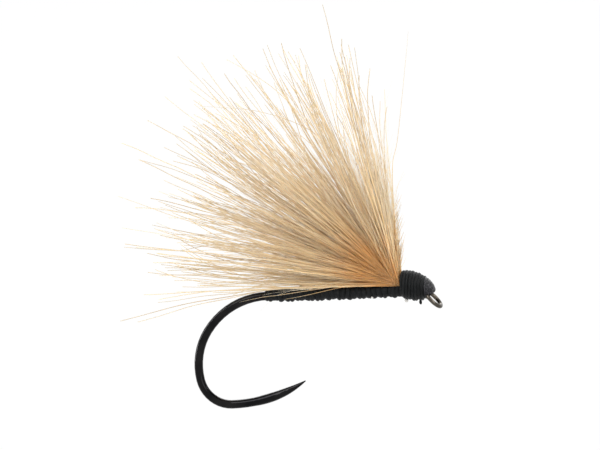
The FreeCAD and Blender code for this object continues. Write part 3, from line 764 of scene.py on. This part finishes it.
def beside_body(rear, angle):
    """A point just off the near side of the body or the bend's wire, as an angle down from its top."""
    side = math.radians(angle)
    if rear <= -BODY_LOW[0]:
        out, z = body_radius(-rear) + SIDE_HAIR_GAP, body_centre(-rear)
    else:
        out = WIRE_RADIUS + SIDE_HAIR_GAP
        z = SHANK_Z - BEND_RADIUS + math.sqrt(BEND_RADIUS**2 - (rear - SHANK_LENGTH) ** 2)
    return np.array([-rear, -out * math.sin(side), z + out * math.cos(side)])


# Loose hairs: one in front of the wing, one that crosses it, and two along the body's near side.
STRAY_RISE = 12.3
STRAY = (
    (0.06, 0, 0.35), (0.09, 0, STRAY_RISE * 0.275), (0.19, 0, STRAY_RISE * 0.495),
    (0.58, 0, STRAY_RISE * 0.62), (1.27, 0, STRAY_RISE * 0.943), (1.55, 0, STRAY_RISE * 1.083),
)
CROSSING = (
    (0, 0, 0), (-1.7, -0.4, 4.0), (-3.1, -0.8, 7.2),
    (-4.3, -1.0, 8.5), (-6.9, -1.1, 9.5), (-10.2, -1.0, 9.9),
)


def single_hair(name, line, thickness, tone):
    return strands(name, line[None], np.array([thickness]), 6, np.array([tone]))


stray = smooth_path([TIE_IN + np.array(p) for p in STRAY], 60)
piece = single_hair("loose_front_hair", stray, 0.040, 0.35)
bend_with_row(finish_piece(piece, HAIR, "wing_hair", "stray_front_hair"))
for name, node, route in (
    ("loose_side_hair_upper", "side_hair_upper",
     ((1.9, 20), (3.83, 14), (5.2, 42), (6.87, 66),
      (8.4, 84), (9.3, 90), (10.1, 97), (10.7, 84))),
    ("loose_side_hair_lower", "side_hair_lower",
     ((1.9, 42), (3.83, 32), (5.2, 58), (6.4, 84), (7.4, 104), (8.2, 118))),
):
    line = smooth_path([beside_body(rear, angle) for rear, angle in route], 60)
    piece = single_hair(name, line, 0.044, 0.2)
    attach(finish_piece(piece, HAIR, "wing_hair", node), "fly")


def make_front_fuzz():
    """Short fine hairs that stand off the wing's front edge, just above the head."""
    rng = np.random.default_rng(23)
    count = 70
    up = 0.4 + 3.6 * rng.random(count) ** 1.4
    forward = 0.20 - 0.02 * up
    root = TIE_IN + np.stack([forward, rng.uniform(-0.35, 0.35, count), up], axis=-1)
    fan = np.radians(rng.uniform(38, 84, count))
    size = rng.uniform(0.25, 0.75, count)
    share = np.linspace(0, 1, 9)[None, :, None]
    away = fan_direction(fan, rng.normal(0, 0.3, count))[:, None, :]
    upward = np.array([0.0, 0, 1.0])[None, None, :]
    path = root[:, None, :] + (away * share + upward * 0.5 * share**2) * size[:, None, None]
    piece = strands("front_fuzz", path, np.full(count, 0.026), 4, rng.random(count), pale=0.30)
    bend_with_row(finish_piece(piece, HAIR, "wing_hair"))


make_front_fuzz()

bent = smooth_path([TIE_IN + np.array(p) for p in CROSSING], 70)
piece = finish_piece(single_hair("crossing_hair", bent, 0.046, 0.3), HAIR, "wing_hair")
bend_with_row(piece)


# --- floor, world, lights, camera -----------------------------------------------------------------

FLOOR_SIZE, FLOOR_Z = 6.0, -0.030
FLOOR_GLOW = 0.95  # share of plain white where the floor is seen; the rest takes the shadow
WORLD_LIGHT, WORLD_SEEN = 0.74, 1.0  # its strength as light, and where it is seen or mirrored

bpy.ops.mesh.primitive_plane_add(size=FLOOR_SIZE, location=(0, 0, FLOOR_Z))
floor = bpy.context.object
floor.name = "studio_floor"


def seen_white(g):
    """1 for rays that come from the camera, a mirror or glass, and 0 for rays that light the object."""
    rays = g.node("ShaderNodeLightPath").outputs
    mirrored = g.calculate("MAXIMUM", rays["Is Glossy Ray"], rays["Is Transmission Ray"])
    return g.calculate("MAXIMUM", rays["Is Camera Ray"], mirrored)


g = material_graph("studio_floor_white")
paint = g.node("ShaderNodeBsdfDiffuse", {"Color": (0.86, 0.86, 0.86, 1)}).outputs[0]
glow = g.node("ShaderNodeEmission", {"Color": (1, 1, 1, 1), "Strength": 1.0}).outputs[0]
share = g.calculate("MULTIPLY", seen_white(g), FLOOR_GLOW)
mixed = g.node("ShaderNodeMixShader", {0: share, 1: paint, 2: glow})
floor.data.materials.append(g.finish(mixed))

world = bpy.data.worlds.new("studio")
bpy.context.scene.world = world
g = Graph(world, "ShaderNodeOutputWorld")
extra = g.calculate("MULTIPLY", seen_white(g), WORLD_SEEN - WORLD_LIGHT)
strength = g.calculate("ADD", extra, WORLD_LIGHT)
g.finish(g.node("ShaderNodeBackground", {"Color": (1, 1, 1, 1), "Strength": strength}))


CENTRE = (-0.007, 0, 0.004)  # of the fly, in metres, where the lamps point


def soft_light(name, place, watts, width, height):
    """A rectangular lamp that faces the fly, with its size in metres."""
    lamp = bpy.data.lights.new(name, "AREA")
    lamp.shape = "RECTANGLE"
    lamp.size, lamp.size_y = width, height
    lamp.energy = watts
    made = bpy.data.objects.new(name, lamp)
    bpy.context.scene.collection.objects.link(made)
    made.location = place
    made.rotation_mode = "QUATERNION"
    made.rotation_quaternion = (Vector(CENTRE) - Vector(place)).to_track_quat("-Z", "Y")


soft_light("key_softbox", (-0.32, -0.38, 0.42), 1.4, 0.30, 0.30)
soft_light("left_strip", (-0.50, 0.00, 0.14), 1.5, 0.035, 0.50)
soft_light("right_softbox", (0.38, 0.02, 0.33), 0.9, 0.16, 0.30)
soft_light("fill_softbox", (0.42, -0.40, 0.10), 0.6, 0.30, 0.30)
soft_light("back_softbox", (-0.10, 0.50, 0.38), 1.0, 0.40, 0.25)

# The camera stands a little in front of the fly's beam and a little above it, rolled with the shank.
AZIMUTH, ELEVATION, ROLL = (math.radians(v) for v in (14.0, 7.0, 3.94))
DISTANCE, VIEW_WIDTH = 0.400, 0.0324
SENSOR = 36.0  # mm
ASIDE, UPWARD = -0.00721, 0.00400  # of the view's centre, from the eye, in the picture plane
right = Vector((math.cos(AZIMUTH), math.sin(AZIMUTH), 0))
back = Vector((math.sin(AZIMUTH) * math.cos(ELEVATION), -math.cos(AZIMUTH) * math.cos(ELEVATION),
               math.sin(ELEVATION)))
up = back.cross(right)
across = right * math.cos(ROLL) - up * math.sin(ROLL)
upright = right * math.sin(ROLL) + up * math.cos(ROLL)
lens = bpy.data.cameras.new("camera")
lens.sensor_width = SENSOR
lens.lens = SENSOR * DISTANCE / VIEW_WIDTH
lens.clip_start, lens.clip_end = 0.01, 20.0
camera = bpy.data.objects.new("camera", lens)
bpy.context.scene.collection.objects.link(camera)
place = across * ASIDE + upright * UPWARD + back * DISTANCE
turned = Matrix((across, upright, back)).transposed()
camera.matrix_world = Matrix.Translation(place) @ turned.to_4x4()
bpy.context.scene.camera = camera
bpy.context.scene.view_settings.view_transform = "Standard"
